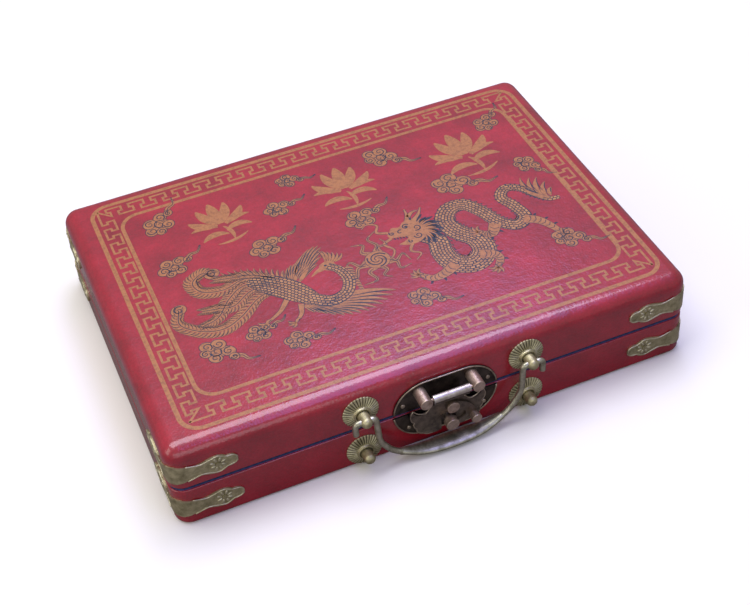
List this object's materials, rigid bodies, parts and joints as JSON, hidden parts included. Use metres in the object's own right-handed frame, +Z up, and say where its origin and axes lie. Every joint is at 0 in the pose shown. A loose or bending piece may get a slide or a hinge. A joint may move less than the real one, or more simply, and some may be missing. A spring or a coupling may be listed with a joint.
{
  "type": "mahjong case with drawers",
  "caption": "Flat lacquered case with a hinged lid, bail handle, hasp lock with a swinging catch, brass corners and sliding inner drawers for tiles.",
  "frame": {"origin": "centre of the case's flat underside, on the surface it stands on", "axes": "+X to the right along the width, -Y out of the front with the lock, +Z up"},
  "size_m": [0.3632, 0.2829, 0.067],
  "materials": {
    "red_lacquer": "crimson lacquer over a fine leather grain, gold print on the lid's top",
    "navy_cloth": "plain navy lining cloth",
    "inner_wood": "thin dark red stain",
    "drawer_wood": "satin red lacquer",
    "antique_brass": "stamped, olive-brown antique brass",
    "worn_brass": "turned brass with a coppery worn shine",
    "lock_bronze": "dark bronze patina, satin"
  },
  "bodies": {
    "base": {"base_shell": "red_lacquer", "base_floor_lining": "navy_cloth", "base_collar": "navy_cloth", "centre_partition": "inner_wood", "cross_partition_front": "inner_wood", "cross_partition_rear": "inner_wood", "front_runner_outer": "inner_wood", "front_runner_centre": "inner_wood", "rear_runner_outer": "inner_wood", "rear_runner_centre": "inner_wood", "hinge_leaf_base_left": "antique_brass", "hinge_leaf_base_right": "antique_brass", "hinge_pin_left": "antique_brass", "hinge_pin_right": "antique_brass", "hinge_screws_base": "antique_brass", "base_bracket_front_left": "antique_brass", "base_bracket_front_right": "antique_brass", "base_bracket_rear_left": "antique_brass", "base_bracket_rear_right": "antique_brass", "base_bracket_pins": "antique_brass", "lock_plate_lower": "lock_bronze", "lock_stud": "worn_brass", "lock_rivets_lower": "worn_brass", "base_rosette_left": "antique_brass", "base_rosette_right": "antique_brass", "base_post_left": "antique_brass", "base_post_right": "antique_brass", "base_post_roves": "antique_brass"},
    "lid": {"lid_shell": "red_lacquer", "lid_lining": "navy_cloth", "hinge_leaf_lid_left": "antique_brass", "hinge_leaf_lid_right": "antique_brass", "hinge_screws_lid": "antique_brass", "lid_bracket_front_left": "antique_brass", "lid_bracket_front_right": "antique_brass", "lid_bracket_rear_left": "antique_brass", "lid_bracket_rear_right": "antique_brass", "lid_bracket_pins": "antique_brass", "lock_plate_upper": "lock_bronze", "lock_post_left": "worn_brass", "lock_post_right": "worn_brass", "hasp_pin": "worn_brass", "lock_rivets_upper": "worn_brass", "lid_rosette_left": "antique_brass", "lid_rosette_right": "antique_brass", "handle_post_left": "antique_brass", "handle_post_right": "antique_brass", "lid_post_roves": "antique_brass"},
    "handle": {"handle": "antique_brass"},
    "hasp": {"hasp_flap": "lock_bronze", "catch_pivot": "worn_brass"},
    "catch": {"catch_lever": "lock_bronze", "catch_knob": "worn_brass"},
    "front_drawer": {"front_drawer": "drawer_wood", "front_drawer_lining": "navy_cloth", "front_drawer_knob": "antique_brass"},
    "rear_drawer": {"rear_drawer": "drawer_wood", "rear_drawer_lining": "navy_cloth", "rear_drawer_knob": "antique_brass"}
  },
  "joints": [
    {"name": "lid_hinge", "type": "hinge", "parent": "base", "child": "lid", "pos_m": [0, 0.1336, 0.0326], "axis": [-1, 0, 0], "range_deg": [0, 105]},
    {"name": "handle_swing", "type": "hinge", "parent": "lid", "child": "handle", "pos_m": [0.0026, -0.1404, 0.0478], "axis": [-1, 0, 0], "range_deg": [-2, 180]},
    {"name": "hasp_swing", "type": "hinge", "parent": "lid", "child": "hasp", "pos_m": [0.0026, -0.1422, 0.0483], "axis": [-1, 0, 0], "range_deg": [0, 120]},
    {"name": "catch_turn", "type": "hinge", "parent": "hasp", "child": "catch", "pos_m": [0.0051, -0.1367, 0.0302], "axis": [0, 1, 0], "range_deg": [-25, 45]},
    {"name": "front_drawer_slide", "type": "slide", "parent": "base", "child": "front_drawer", "axis": [1, 0, 0], "range_m": [0, 0.166]},
    {"name": "rear_drawer_slide", "type": "slide", "parent": "base", "child": "rear_drawer", "axis": [-1, 0, 0], "range_m": [0, 0.166]}
  ]
}
